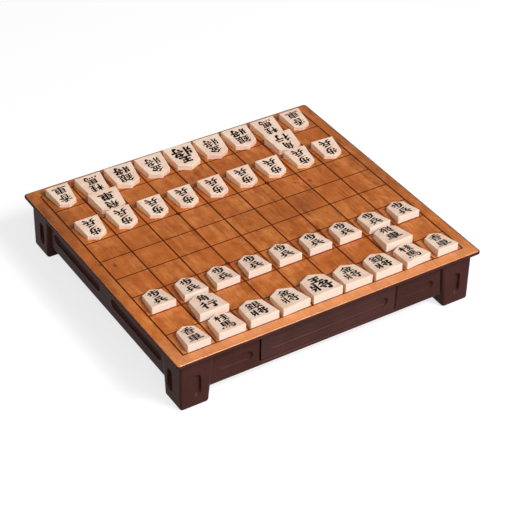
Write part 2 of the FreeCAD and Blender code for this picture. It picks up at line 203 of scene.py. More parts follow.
class Graph:
    """Node tree of one material or of the world."""

    def __init__(self, owner: Union[bpy.types.Material, bpy.types.World]) -> None:
        """Empty the node tree.

        Args:
            owner: the material or the world that it belongs to.
        """
        owner.use_nodes = True
        self.tree = owner.node_tree
        self.tree.nodes.clear()

    def add(self, kind: str, settings: dict, sockets: dict) -> bpy.types.Node:
        """Add one node.

        Args:
            kind: the node's type, without the word that all shader nodes begin with.
            settings: its properties, which are set first.
            sockets: value or link of its inputs, by name or by their order among those in use.

        Returns:
            The node.
        """
        node = self.tree.nodes.new("ShaderNode" + kind)
        for name, setting in settings.items():
            setattr(node, name, setting)
        in_use = [socket for socket in node.inputs if socket.enabled]
        for key, value in sockets.items():
            socket = in_use[key] if isinstance(key, int) else node.inputs[key]
            if isinstance(value, Value):
                self.tree.links.new(value.socket, socket)
            elif isinstance(value, tuple) and socket.type == "RGBA":
                socket.default_value = (*value, OPAQUE)
            else:
                socket.default_value = value
        return node

    def node(self, kind: str, settings: dict, sockets: dict, output: str = "") -> Value:
        """Add one node and take one of its outputs.

        Args:
            kind, settings, sockets: as for add.
            output: name of the output, where it isn't the first one in use.

        Returns:
            The output.
        """
        made = self.add(kind, settings, sockets)
        socket = made.outputs[output] if output else next(s for s in made.outputs if s.enabled)
        return Value(self, socket)

    def axes(self, vector: Value) -> list[Value]:
        """Numbers of a vector on its three axes."""
        parts = self.add("SeparateXYZ", {}, {0: vector})
        return [Value(self, socket) for socket in parts.outputs]

    def place(self) -> Value:
        """Place on the surface, in the frame of the whole board."""
        return self.node("TexCoord", {}, {}, "Object")

    def noise(self, place: Value, pattern: Pattern) -> Value:
        """Noise of a pattern from 0 to 1, read at a place."""
        numbers = {"Scale": 1.0, "Detail": pattern.detail, "Roughness": pattern.rough}
        return self.node("TexNoise", {}, {"Vector": place / pattern.size, **numbers})

    def mix(self, share: Operand, under: Operand, over: Operand, blend: Blend = Blend.COVER) -> Value:
        """Colour that one colour makes with a share of another laid over it."""
        settings = {"data_type": "RGBA", "blend_type": blend.value}
        return self.node("Mix", settings, {0: share, 1: under, 2: over})

    def bump(self, height: Value, relief: Relief) -> Value:
        """Normal of a surface that rises with a height from 0 to 1."""
        sockets = {"Strength": relief.strength, "Distance": relief.depth, "Height": height}
        return self.node("Bump", {}, sockets)

    def background_rays(self) -> Value:
        """Mask of the rays that show the background itself: from the camera, off a gloss or through glass.

        Returns:
            1 for these rays and 0 for all others.
        """
        path = self.add("LightPath", {}, {})
        names = ("Is Camera Ray", "Is Glossy Ray", "Is Transmission Ray")
        camera, gloss, glass = (Value(self, path.outputs[name]) for name in names)
        return camera + gloss + glass


# ---- finishes --------------------------------
@dataclass(frozen=True)
class Finish:
    """Finish of a surface: each kind says what goes into the sockets of the usual surface shader."""

    name: str

    def sockets(self, graph: Graph) -> dict:
        """What the finish gives the shader: values and links of its sockets by name."""
        raise NotImplementedError

    def material(self) -> bpy.types.Material:
        """Build the material.

        Returns:
            The material.
        """
        made = bpy.data.materials.new(self.name)
        graph = Graph(made)
        shader = graph.node("BsdfPrincipled", {}, self.sockets(graph))
        graph.add("OutputMaterial", {}, {"Surface": shader})
        return made


@dataclass(frozen=True)
class Knot:
    """A small knot in the board.

    Args:
        x, y: its centre.
        radius: of the dark core.
        stretch: how a distance from it counts on each axis.
        swirl_reach: how far out it bends the grain, in radii.
        swirl_push: how far it pushes the grain aside, in radii.
        core_reach: how far out its dark tone goes, in radii.
        core_share: how dark its middle is.
    """

    x: float
    y: float
    radius: float
    stretch: Size = (1.0, 0.6, 0.0)
    swirl_reach: float = 7.0
    swirl_push: float = 1.6
    core_reach: float = 1.3
    core_share: float = 0.8

    def distance(self, place: Value) -> Value:
        """Distance of a place from its centre."""
        return ((place - (self.x, self.y, 0.0)) * self.stretch).length()

    def push(self, distance: Value) -> Value:
        """How far the grain is pushed aside at a distance."""
        near = 1.0 - distance.between(0.0, self.radius * self.swirl_reach)
        return near * (self.radius * self.swirl_push)

    def darkness(self, distance: Value) -> Value:
        """Share of the core's tone at a distance."""
        near = 1.0 - distance.between(0.0, self.radius * self.core_reach)
        return near * self.core_share


@dataclass(frozen=True)
class Shade:
    """A broad lighter or darker part of the board: some stand for painted light and shade, others for the
    wood's own tone.

    Args:
        x, y: its centre.
        across, along: half of its size on each axis.
        gain: how much lighter it is at its centre, as a share.
        sheen_share: share of the painted sheen at its centre.
        full: part of its size over which it doesn't fade yet, as a share.
    """

    x: float
    y: float
    across: float
    along: float
    gain: float
    sheen_share: float = 0.0
    full: float = 0.15

    def near(self, place: Value) -> Value:
        """1 at its centre and 0 outside it."""
        to_size = (1 / self.across, 1 / self.along, 0.0)
        return 1.0 - ((place - (self.x, self.y, 0.0)) * to_size).length().between(self.full, 1.0)


@dataclass(frozen=True)
class BoardWood(Finish):
    """Red-brown lacquered wood with a fine grain that runs from player to player.

    Its plain tone lies between deep and pale. Clouds turn it ruddy, and flames streak it, most of all on the
    plank beyond plank_edge. Knots bend the grain. Broad patches lighten or darken it, some as its own tone
    and some as painted light and shade; a painted sheen lies over the near edge, and a highlight is painted
    on the rim.
    """

    name: str = "board_wood_lacquered"
    pale: Rgb = linear(217, 132, 64)
    deep: Rgb = linear(160, 75, 4)
    ruddy: Rgb = linear(184, 92, 26)
    streaked: Rgb = linear(138, 60, 6)
    core: Rgb = linear(98, 40, 6)
    # Painted sheen laid over the near part of the board, where its lacquer would catch the light.
    painted_sheen: Rgb = linear(234, 162, 108)
    # Painted highlight on the rim of the panel, where its rounded edge catches the light.
    edge_highlight: Rgb = linear(220, 150, 102)
    bend: Pattern = Pattern(even(55 * MM), 1.0)
    fibre: Pattern = Pattern((0.8 * MM, 22 * MM, 5 * MM), 4.0, 0.62)
    pore: Pattern = Pattern((0.35 * MM, 3.2 * MM, 1 * MM))
    band: Pattern = Pattern((6 * MM, 80 * MM, 20 * MM), 3.0, 0.55)
    flame: Pattern = Pattern((3.2 * MM, 30 * MM, 10 * MM), 4.0, 0.6)
    mottle: Pattern = Pattern((8 * MM, 12 * MM, 8 * MM), 4.0, 0.65)
    cloud: Pattern = Pattern((24 * MM, 34 * MM, 20 * MM))
    sway: float = 6 * MM
    fibre_share: float = 0.20
    band_share: float = 0.34
    mottle_share: float = 0.50
    tone_span: Span = (0.36, 0.72)
    cloud_span: Span = (0.38, 0.72)
    cloud_share: float = 0.62
    flame_span: Span = (0.52, 0.72)
    flame_share: float = 0.08
    plank_flame_share: float = 0.50
    plank_edge: float = -15 * MM
    plank_seam: float = 0.4 * MM
    edge_highlight_width: float = 0.5 * MM
    edge_highlight_span: Span = (0.25, 0.6)
    roughness: float = 0.19
    fibre_roughness: float = 0.08
    mottle_roughness: float = 0.06
    gloss: float = 0.45
    pore_height: float = 0.5
    fibre_height: float = 0.5
    relief: Relief = Relief(0.02 * MM, 0.35)
    knots: tuple[Knot, ...] = (
        Knot(65.3 * MM, 30.6 * MM, 1.0 * MM),
        Knot(67.0 * MM, 28.9 * MM, 1.2 * MM),
        Knot(69.4 * MM, 27.4 * MM, 1.1 * MM),
        Knot(80.0 * MM, 25.5 * MM, 2.4 * MM),
        Knot(-136.0 * MM, 10.5 * MM, 1.7 * MM),
        Knot(-126.0 * MM, 4.0 * MM, 1.9 * MM),
    )
    shades: tuple[Shade, ...] = (
        # Painted light and painted sheen: brighter and paler along the near edge.
        Shade(0 * MM, -146 * MM, 420 * MM, 62 * MM, 0.10, 0.50),
        # Painted light: lighter towards the front of the left margin.
        Shade(-128 * MM, -66 * MM, 40 * MM, 50 * MM, 0.16, 0.05),
        # Painted shade: darker towards the back of the left margin and in its middle.
        Shade(-146 * MM, 84 * MM, 34 * MM, 60 * MM, -0.36),
        Shade(-146 * MM, -14 * MM, 30 * MM, 40 * MM, -0.15),
        # Darker across the middle right and along the far right margin.
        Shade(25 * MM, -2 * MM, 60 * MM, 24 * MM, -0.12),
        Shade(144 * MM, 40 * MM, 26 * MM, 130 * MM, -0.20),
        # The wood's own tone: a dark patch, and paler wood round the knots.
        Shade(58 * MM, -4 * MM, 16 * MM, 27 * MM, -0.20),
        Shade(72 * MM, 31 * MM, 20 * MM, 16 * MM, 0.12),
    )

    def sockets(self, graph: Graph) -> dict:
        """What the finish gives the shader.

        Args:
            graph: of the material.

        Returns:
            Its sockets by name.
        """
        place = graph.place()
        bend = graph.noise(place, self.bend) - NOISE_MEAN
        push, darkness = self._knots(place)
        along = place + graph.node("CombineXYZ", {}, {0: bend * self.sway + push})
        fibre = graph.noise(along, self.fibre)
        mottle = graph.noise(place, self.mottle)
        wood = self._plain(graph, place, along, fibre, mottle)
        wood = graph.mix(darkness, wood, self.core)
        # The broad patches paint light, shade and the wood's own tone, and a painted sheen lies towards the
        # near edge.
        gain, sheen_share = self._shading(place)
        wood = graph.mix(sheen_share, graph.mix(1.0, wood, gain, Blend.MULTIPLY), self.painted_sheen)
        # Painted highlight on the rim, broken up by the mottle.
        wood = graph.mix(self._edge_highlight_mask(graph, place) * mottle.between(*self.edge_highlight_span), wood, self.edge_highlight)
        fibre_effect = (fibre - NOISE_MEAN) * self.fibre_roughness
        mottle_effect = (mottle - NOISE_MEAN) * self.mottle_roughness
        height = graph.noise(along, self.pore) * self.pore_height + fibre * self.fibre_height
        return {
            "Base Color": wood,
            "Roughness": fibre_effect + mottle_effect + self.roughness,
            "Specular IOR Level": self.gloss,
            "Normal": graph.bump(height, self.relief),
        }

    def _plain(self, graph: Graph, place: Value, along: Value, fibre: Value, mottle: Value) -> Value:
        """Colour of the wood without its knots, shades and wear.

        Args:
            graph: of the material.
            place: on the surface.
            along: the same place, moved to where the bent grain would be straight.
            fibre: noise of the finest grain.
            mottle: noise of the small clouds.

        Returns:
            The colour.
        """
        band = graph.noise(along, self.band)
        flame = graph.noise(along, self.flame)
        cloud = graph.noise(place, self.cloud)
        tone = fibre * self.fibre_share + band * self.band_share + mottle * self.mottle_share
        on_plank = graph.axes(place)[0].between(self.plank_edge, self.plank_edge + self.plank_seam)
        streaks = on_plank * self.plank_flame_share + self.flame_share
        wood = graph.mix(tone.between(*self.tone_span), self.deep, self.pale)
        wood = graph.mix(cloud.between(*self.cloud_span) * self.cloud_share, wood, self.ruddy)
        return graph.mix(flame.between(*self.flame_span) * streaks, wood, self.streaked)

    def _knots(self, place: Value) -> tuple[Value, Value]:
        """What the knots do to the wood.

        Args:
            place: on the surface.

        Returns:
            How far the grain is pushed aside, and the share of the cores' tone.
        """
        push, darkness = 0.0, 0.0
        for knot in self.knots:
            distance = knot.distance(place)
            push = knot.push(distance) + push
            darkness = knot.darkness(distance) + darkness
        return push, darkness

    def _shading(self, place: Value) -> tuple[Value, Value]:
        """What the broad lighter and darker parts do to the wood, painted light and shade among them.

        Args:
            place: on the surface.

        Returns:
            The brightness, and the share of the painted sheen.
        """
        gain, sheen_share = 1.0, 0.0
        for shade in self.shades:
            near = shade.near(place)
            gain = near * shade.gain + gain
            sheen_share = near * shade.sheen_share + sheen_share
        return gain, sheen_share

    def _edge_highlight_mask(self, graph: Graph, place: Value) -> Value:
        """1 on the rim of the panel, where a highlight is painted, and 0 inside it.

        Args:
            graph: of the material.
            place: on the surface.

        Returns:
            The mask.
        """
        low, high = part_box("board_panel")
        from_middle = graph.node("VectorMath", {"operation": "ABSOLUTE"}, {0: place})
        beyond = graph.axes(from_middle - ((high.x - low.x) / 2, (high.y - low.y) / 2, 0.0))
        outermost = graph.node("Math", {"operation": "MAXIMUM"}, {0: beyond[0], 1: beyond[1]})
        return outermost.between(-self.edge_highlight_width, -self.edge_highlight_width / 2)


@dataclass(frozen=True)
class Ink(Finish):
    """Burnt-in or brushed colour that lies on wood and lets its pores show.

    Args:
        colour: where the ink is full.
        thin: where it is rubbed thin or dry.
        flecks: pattern of the dry spots.
        drift: pattern that gathers the dry spots.
        dry_span: from where on a spot begins to be dry, and from where on it is.
    """

    colour: Rgb
    thin: Rgb
    flecks: Pattern = Pattern(even(0.5 * MM), 3.0, 0.7)
    drift: Pattern = Pattern(even(2.5 * MM), 1.0)
    fleck_share: float = 0.7
    drift_share: float = 0.3
    dry_span: Span = (0.63, 0.80)
    roughness: float = 0.42
    fleck_roughness: float = 0.2
    gloss: float = 0.08
    relief: Relief = Relief(0.02 * MM, 0.3)

    def sockets(self, graph: Graph) -> dict:
        """What the finish gives the shader.

        Args:
            graph: of the material.

        Returns:
            Its sockets by name.
        """
        place = graph.place()
        flecks = graph.noise(place, self.flecks)
        drift = graph.noise(place, self.drift)
        dry = (flecks * self.fleck_share + drift * self.drift_share).between(*self.dry_span)
        return {
            "Base Color": graph.mix(dry, self.colour, self.thin),
            "Roughness": flecks * self.fleck_roughness + self.roughness,
            "Specular IOR Level": self.gloss,
            "Normal": graph.bump(flecks, self.relief),
        }


@dataclass(frozen=True)
class MouldedPlastic(Finish):
    """Dark brown moulded plastic with a soft gloss.

    Args:
        colour: its main colour.
        warm: a little redder tone, in faint clouds.
        roughness: of the skin, to which its texture and the rubbed spots add a little.
        gloss: strength of its highlights, where a plain plastic has 0.5.
        relief: of the skin's fine texture.
    """

    colour: Rgb
    warm: Rgb
    roughness: float
    gloss: float
    relief: Relief = Relief(0.003 * MM, 0.5)
    clouds: Pattern = Pattern(even(22 * MM), 3.0, 0.6)
    skin: Pattern = Pattern(even(0.55 * MM), 3.0, 0.6)
    rubs: Pattern = Pattern((3 * MM, 3 * MM, 9 * MM), 4.0, 0.7)
    cloud_span: Span = (0.35, 0.7)
    rub_span: Span = (0.55, 0.8)
    skin_roughness: float = 0.04
    rub_roughness: float = 0.05

    def sockets(self, graph: Graph) -> dict:
        """What the finish gives the shader.

        Args:
            graph: of the material.

        Returns:
            Its sockets by name.
        """
        place = graph.place()
        warmth = graph.noise(place, self.clouds).between(*self.cloud_span)
        skin = graph.noise(place, self.skin)
        rubbed = graph.noise(place, self.rubs).between(*self.rub_span)
        uneven = (skin - NOISE_MEAN) * self.skin_roughness + rubbed * self.rub_roughness
        return {
            "Base Color": graph.mix(warmth, self.colour, self.warm),
            "Roughness": uneven + self.roughness,
            "Specular IOR Level": self.gloss,
            "Normal": graph.bump(skin, self.relief),
        }


@dataclass(frozen=True)
class PieceWood(Finish):
    """Smooth pale maple of the playing pieces, with fine rays along each piece.

    The faces that look along the grain show end_grain, and those that look to either side get
    painted_side_light, a painted warm light.
    """

    name: str = "piece_maple"
    pale: Rgb = linear(243, 217, 195)
    rosy: Rgb = linear(234, 200, 179)
    vein: Rgb = linear(214, 173, 142)
    end_grain: Rgb = linear(238, 222, 208)
    # Painted light: the faces that look to either side are made lighter and warmer, as if lit by the board.
    painted_side_light: Rgb = linear(251, 218, 184)
    cloud: Pattern = Pattern(even(13 * MM))
    ray: Pattern = Pattern((0.6 * MM, 7 * MM, 0.9 * MM), 4.0, 0.6)
    fleck: Pattern = Pattern(even(0.45 * MM), 2.0, 0.7)
    cloud_span: Span = (0.35, 0.68)
    ray_span: Span = (0.52, 0.78)
    ray_share: float = 0.45
    fleck_span: Span = (0.60, 0.82)
    fleck_share: float = 0.35
    end_span: Span = (0.92, 0.99)
    painted_side_span: Span = (0.75, 0.97)
    roughness: float = 0.46
    fleck_roughness: float = 0.2
    gloss: float = 0.3
    ray_height: float = 0.6
    fleck_height: float = 0.4
    relief: Relief = Relief(0.025 * MM, 0.35)

    def sockets(self, graph: Graph) -> dict:
        """What the finish gives the shader.

        Args:
            graph: of the material.

        Returns:
            Its sockets by name.
        """
        place = graph.place()
        cloud = graph.noise(place, self.cloud)
        ray = graph.noise(place, self.ray)
        fleck = graph.noise(place, self.fleck)
        wood = graph.mix(cloud.between(*self.cloud_span), self.pale, self.rosy)
        wood = graph.mix(ray.between(*self.ray_span) * self.ray_share, wood, self.vein)
        wood = graph.mix(fleck.between(*self.fleck_span) * self.fleck_share, wood, self.vein)
        facing = graph.node("TexCoord", {}, {}, "Normal")
        lengthwise = (facing * (0.0, 1.0, 0.0)).length()
        side_light_mask = (facing * (1.0, 0.0, 0.0)).length()
        wood = graph.mix(lengthwise.between(*self.end_span), wood, self.end_grain)
        # Painted light on the faces that look to either side.
        wood = graph.mix(side_light_mask.between(*self.painted_side_span), wood, self.painted_side_light)
        return {
            "Base Color": wood,
            "Roughness": (fleck - NOISE_MEAN) * self.fleck_roughness + self.roughness,
            "Specular IOR Level": self.gloss,
            "Normal": graph.bump(ray * self.ray_height + fleck * self.fleck_height, self.relief),
        }


@dataclass(frozen=True)
class ZincSteel(Finish):
    """Bright zinc plating of the screws, brushed by the press."""

    name: str = "zinc_plated_steel"
    colour: Rgb = linear(196, 198, 202)
    stain: Rgb = linear(150, 146, 138)
    stains: Pattern = Pattern(even(1.6 * MM), 3.0)
    stain_span: Span = (0.45, 0.8)
    scratches: Pattern = Pattern((0.12 * MM, 1.4 * MM, 0.12 * MM))
    roughness: float = 0.2
    scratch_roughness: float = 0.25
    relief: Relief = Relief(0.01 * MM, 0.3)

    def sockets(self, graph: Graph) -> dict:
        """What the finish gives the shader.

        Args:
            graph: of the material.

        Returns:
            Its sockets by name.
        """
        place = graph.place()
        stained = graph.noise(place, self.stains).between(*self.stain_span)
        scratch = graph.noise(place, self.scratches)
        return {
            "Base Color": graph.mix(stained, self.colour, self.stain),
            "Roughness": scratch * self.scratch_roughness + self.roughness,
            "Metallic": 1.0,
            "Normal": graph.bump(scratch, self.relief),
        }


# ---- what every sub-assembly uses ------------
def nodes_in(slot: Slot) -> list[str]:
    """Names of the solids whose record names a finish."""
    return [part["node"] for part in frame["record"]["subparts"] if part["material_slot"] == slot.value]


def dress(nodes: list[str], material: bpy.types.Material) -> None:
    """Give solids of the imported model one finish.

    Args:
        nodes: their names.
        material: the finish.
    """
    for name in nodes:
        data = frame["nodes"][name].data
        data.materials.clear()
        data.materials.append(material)
        log.info("dressed %s in %s", name, material.name)


def new_object(name: str, data: bpy.types.ID) -> bpy.types.Object:
    """Put a mesh, a lamp or a camera into the scene.

    Args:
        name: of the object.
        data: what it shows.

    Returns:
        The object.
    """
    made = bpy.data.objects.new(name, data)
    bpy.context.scene.collection.objects.link(made)
    return made


def mesh_object(name: str, mesh: bmesh.types.BMesh, material: bpy.types.Material) -> bpy.types.Object:
    """Put a finished mesh into the scene.

    Args:
        name: of the object.
        mesh: its faces, in the frame of the whole board; it is freed.
        material: its only material.

    Returns:
        The object.
    """
    data = bpy.data.meshes.new(name)
    mesh.to_mesh(data)
    mesh.free()
    data.materials.append(material)
    return new_object(name, data)


def add_piece(
    name: str, mesh: bmesh.types.BMesh, material: bpy.types.Material, body: str
) -> None:
    """Add a closed mesh that rides on a body.

    Args:
        name: of the piece.
        mesh: its faces, as for mesh_object.
        material: its only material.
        body: the body that carries it.
    """
    bmesh.ops.recalc_face_normals(mesh, faces=mesh.faces)
    made = mesh_object(name, mesh, material)
    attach(made, body)
    log.info("made %s with %d faces, on %s", name, len(made.data.polygons), body)


# ---- the playing board -----------------------
@dataclass
class PlayingBoard:
    """Panel with the printed field: ten lines each way and four star points."""

    cells: int = 9
    margin: float = 10.2 * MM
    file_line: float = 1.4 * MM
    rank_line: float = 1.0 * MM
    star_radius: float = 2.1 * MM
    star_lines: tuple[int, int] = (3, 6)
    star_sides: int = 24
    film: float = 0.05 * MM
    wood: BoardWood = BoardWood()
    ink: Ink = Ink("field_line_ink", linear(80, 30, 3), linear(132, 60, 12))

    def build(self) -> None:
        """Dress the panel and print its field."""
        dress(nodes_in(Slot.BOARD), self.wood.material())
        ink = self.ink.material()
        low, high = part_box("board_panel")
        across = self._lines(low.x + self.margin, high.x - self.margin)
        along = self._lines(low.y + self.margin, high.y - self.margin)
        add_piece("field_lines", self._lattice(across, along, high.z), ink, BOARD)
        add_piece("star_points", self._stars(across, along, high.z), ink, BOARD)

    def _lines(self, low: float, high: float) -> list[float]:
        """Centres of the lines from the first to the last."""
        return [low + (high - low) * i / self.cells for i in range(self.cells + 1)]

    def _lattice(self, across: list[float], along: list[float], top: float) -> bmesh.types.BMesh:
        """All lines as one thin lattice.

        Args:
            across, along: centres of the lines on each axis.
            top: height of the panel's face.

        Returns:
            The closed mesh.
        """
        xs = [c + side * self.file_line / 2 for c in across for side in (-1, 1)]
        ys = [c + side * self.rank_line / 2 for c in along for side in (-1, 1)]
        mesh = bmesh.new()
        points = [[mesh.verts.new((x, y, top + self.film)) for y in ys] for x in xs]
        for i in range(len(xs) - 1):
            for j in range(len(ys) - 1):
                if i % 2 == 0 or j % 2 == 0:
                    mesh.faces.new((points[i][j], points[i + 1][j], points[i + 1][j + 1], points[i][j + 1]))
        # Closed downwards, it sinks into the panel as far as it stands proud.
        made = bmesh.ops.extrude_face_region(mesh, geom=mesh.faces[:])
        lower = [part for part in made["geom"] if isinstance(part, bmesh.types.BMVert)]
        bmesh.ops.translate(mesh, vec=(0, 0, -2 * self.film), verts=lower)
        return mesh

    def _stars(self, across: list[float], along: list[float], top: float) -> bmesh.types.BMesh:
        """Round star points where the star lines cross.

        Args:
            across, along: centres of the lines on each axis.
            top: height of the panel's face.

        Returns:
            The closed mesh.
        """
        mesh = bmesh.new()
        for i in self.star_lines:
            for j in self.star_lines:
                place = Matrix.Translation((across[i], along[j], top + self.film / 2))
                bmesh.ops.create_cone(
                    mesh,
                    cap_ends=True,
                    segments=self.star_sides,
                    radius1=self.star_radius,
                    radius2=self.star_radius,
                    depth=3 * self.film,
                    matrix=place,
                )
        return mesh


# ---- frame, drawers and fasteners ------------
@dataclass
class Casework:
    """Frame, aprons, legs, drawers, what is inside and the screws."""

    shell: MouldedPlastic = MouldedPlastic(
        "frame_brown_plastic", linear(71, 42, 38), linear(78, 45, 41), roughness=0.24, gloss=0.02
    )
    drawer: MouldedPlastic = MouldedPlastic(
        "drawer_brown_plastic", linear(72, 42, 38), linear(80, 46, 43), roughness=0.20, gloss=0.06
    )
    inner: MouldedPlastic = MouldedPlastic(
        "inner_brown_plastic",
        linear(52, 29, 25),
        linear(60, 33, 28),
        roughness=0.55,
        gloss=0.1,
        relief=Relief(0.02 * MM, 0.5),
    )
    steel: ZincSteel = ZincSteel()

    def build(self) -> None:
        """Dress every solid of the casework by the finish that its record names."""
        for slot, finish in (
            (Slot.FRAME, self.shell),
            (Slot.DRAWER, self.drawer),
            (Slot.INNER, self.inner),
            (Slot.SCREW, self.steel),
        ):
            dress(nodes_in(slot), finish.material())


# ---- brush lettering -------------------------
class Touch(Enum):
    """How the brush is pressed: places from 0 to 1 along a stroke, and widths as shares of its weight."""

    LEVEL = ((0.0, 0.50), (0.08, 0.82), (0.25, 0.58), (0.7, 0.60), (0.90, 0.98), (1.0, 0.55))
    FIRM = ((0.0, 0.70), (0.10, 1.10), (0.35, 0.90), (0.7, 0.92), (0.92, 1.12), (1.0, 0.60))
    SWEEP = ((0.0, 0.65), (0.12, 1.15), (0.5, 0.90), (1.0, 0.12))
    PRESS = ((0.0, 0.35), (0.4, 0.80), (0.82, 1.35), (1.0, 0.20))
    DOT = ((0.0, 0.30), (0.4, 0.95), (0.8, 1.25), (1.0, 0.60))
    HOOK = ((0.0, 0.65), (0.08, 1.05), (0.5, 0.92), (0.82, 1.15), (1.0, 0.10))

    def width(self, place: float) -> float:
        """Width of the ink, between the two nearest stops.

        Args:
            place: along the stroke, from 0 to 1.

        Returns:
            The width, as a share of the full weight.
        """
        for (start, first), (end, second) in zip(self.value, self.value[1:]):
            if place <= end:
                return first + (second - first) * (place - start) / (end - start)
        return self.value[-1][1]


@dataclass(frozen=True)
class Stroke:
    """One stroke of a character, in a square of 100 by 100 with x to the right and y down.

    Args:
        touch: how the brush is pressed.
        points: where its middle goes.
    """

    touch: Touch
    points: tuple[Point, ...]


def strokes(*parts: tuple) -> tuple[Stroke, ...]:
    """Character from its strokes, each given as a touch and its points."""
    return tuple(Stroke(part[0], part[1:]) for part in parts)


LEVEL, FIRM, SWEEP, PRESS, DOT, HOOK = Touch

WALK = strokes(
    (FIRM, (50, 2), (50, 38)),
    (LEVEL, (51, 18), (84, 14)),
    (FIRM, (24, 17), (25, 38)),
    (LEVEL, (2, 43), (98, 35)),
    (HOOK, (51, 43), (51, 68), (40, 62)),
    (DOT, (28, 50), (16, 72)),
    (DOT, (68, 46), (90, 60)),
    (SWEEP, (86, 61), (62, 85), (12, 99)),
)
SOLDIER = strokes(
    (SWEEP, (76, 1), (54, 9), (26, 13)),
    (FIRM, (27, 12), (25, 60)),
    (LEVEL, (28, 35), (84, 29)),
    (FIRM, (65, 33), (64, 60)),
    (LEVEL, (0, 66), (100, 58)),
    (SWEEP, (37, 70), (28, 86), (5, 99)),
    (DOT, (60, 68), (92, 97)),
)
INCENSE = strokes(
    (SWEEP, (74, 1), (54, 7), (28, 10)),
    (LEVEL, (4, 27), (96, 22)),
    (FIRM, (50, 7), (50, 52)),
    (SWEEP, (48, 26), (32, 44), (1, 60)),
    (PRESS, (53, 26), (70, 42), (100, 55)),
    (FIRM, (27, 57), (29, 99)),
    (LEVEL, (28, 59), (74, 56)),
    (FIRM, (73, 56), (72, 98)),
    (LEVEL, (31, 77), (70, 75)),
    (LEVEL, (30, 96), (72, 94)),
)
CART = strokes(
    (LEVEL, (16, 15), (84, 11)),
    (FIRM, (20, 29), (24, 68)),
    (LEVEL, (21, 31), (80, 27)),
    (FIRM, (80, 27), (77, 67)),
    (LEVEL, (25, 48), (76, 46)),
    (LEVEL, (26, 66), (77, 63)),
    (LEVEL, (0, 84), (100, 78)),
    (FIRM, (50, 0), (50, 100)),
)
LAUREL = strokes(
    (LEVEL, (2, 30), (44, 24)),
    (FIRM, (25, 2), (25, 99)),
    (SWEEP, (23, 30), (14, 50), (0, 66)),
    (DOT, (29, 38), (43, 54)),
    (LEVEL, (54, 19), (94, 15)),
    (FIRM, (73, 2), (73, 42)),
    (LEVEL, (48, 43), (99, 38)),
    (LEVEL, (55, 67), (95, 62)),
    (FIRM, (74, 46), (74, 90)),
    (LEVEL, (46, 95), (100, 89)),
)
HORSE = strokes(
    (FIRM, (22, 4), (20, 62)),
    (LEVEL, (22, 7), (82, 3)),
    (LEVEL, (24, 24), (78, 21)),
    (LEVEL, (24, 42), (78, 39)),
    (FIRM, (50, 6), (50, 57)),
    (LEVEL, (18, 61), (88, 56)),
    (HOOK, (87, 56), (88, 80), (80, 97), (62, 87)),
    (DOT, (9, 74), (3, 95)),
    (DOT, (27, 76), (32, 91)),
    (DOT, (45, 75), (51, 89)),
    (DOT, (61, 72), (69, 85)),
)
SILVER = strokes(
    (SWEEP, (25, 1), (14, 18), (0, 33)),
    (PRESS, (26, 4), (36, 14), (51, 26)),
    (LEVEL, (12, 35), (39, 32)),
    (LEVEL, (4, 54), (46, 49)),
    (FIRM, (25, 34), (25, 90)),
    (DOT, (9, 63), (15, 77)),
    (DOT, (43, 58), (35, 73)),
    (LEVEL, (0, 96), (51, 87)),
    (LEVEL, (59, 8), (89, 5)),
    (FIRM, (88, 5), (87, 45)),
    (LEVEL, (60, 26), (87, 24)),
    (LEVEL, (60, 46), (89, 43)),
    (HOOK, (59, 8), (59, 94), (77, 79)),
    (SWEEP, (96, 53), (87, 61), (74, 67)),
    (PRESS, (66, 48), (79, 78), (100, 98)),
)
GENERAL = strokes(
    (FIRM, (27, 1), (27, 99)),
    (FIRM, (8, 13), (9, 38)),
    (LEVEL, (2, 42), (28, 38)),
    (LEVEL, (0, 62), (30, 57)),
    (SWEEP, (12, 60), (10, 80), (0, 98)),
    (SWEEP, (64, 1), (54, 18), (38, 32)),
    (LEVEL, (62, 10), (91, 7)),
    (SWEEP, (91, 7), (78, 30), (44, 49)),
    (DOT, (56, 19), (67, 30)),
    (LEVEL, (38, 58), (100, 52)),
    (HOOK, (80, 40), (80, 98), (63, 89)),
    (DOT, (50, 66), (63, 82)),
)
GOLD = strokes(
    (SWEEP, (50, 0), (30, 26), (0, 47)),
    (PRESS, (51, 3), (70, 24), (100, 45)),
    (LEVEL, (29, 43), (71, 40)),
    (LEVEL, (13, 64), (87, 59)),
    (FIRM, (50, 42), (50, 93)),
    (DOT, (22, 70), (32, 87)),
    (DOT, (80, 66), (67, 85)),
    (LEVEL, (2, 98), (98, 93)),
)
CROWN = strokes(
    (LEVEL, (12, 10), (88, 5)),
    (LEVEL, (18, 51), (82, 46)),
    (FIRM, (50, 7), (50, 93)),
    (LEVEL, (0, 99), (100, 91)),
)
CORNER = strokes(
    (SWEEP, (42, 0), (28, 20), (4, 35)),
    (LEVEL, (38, 14), (73, 10)),
    (SWEEP, (73, 11), (65, 22), (52, 31)),
    (SWEEP, (24, 33), (24, 70), (1, 100)),
    (LEVEL, (25, 35), (84, 31)),
    (HOOK, (84, 31), (84, 98), (68, 91)),
    (LEVEL, (26, 54), (83, 51)),
    (LEVEL, (26, 73), (83, 70)),
    (FIRM, (54, 33), (54, 94)),
)
GO = strokes(
    (SWEEP, (34, 1), (22, 17), (4, 29)),
    (SWEEP, (38, 28), (22, 50), (0, 67)),
    (FIRM, (26, 48), (26, 100)),
    (LEVEL, (52, 21), (93, 17)),
    (LEVEL, (42, 47), (100, 42)),
    (HOOK, (76, 45), (76, 98), (59, 88)),
)
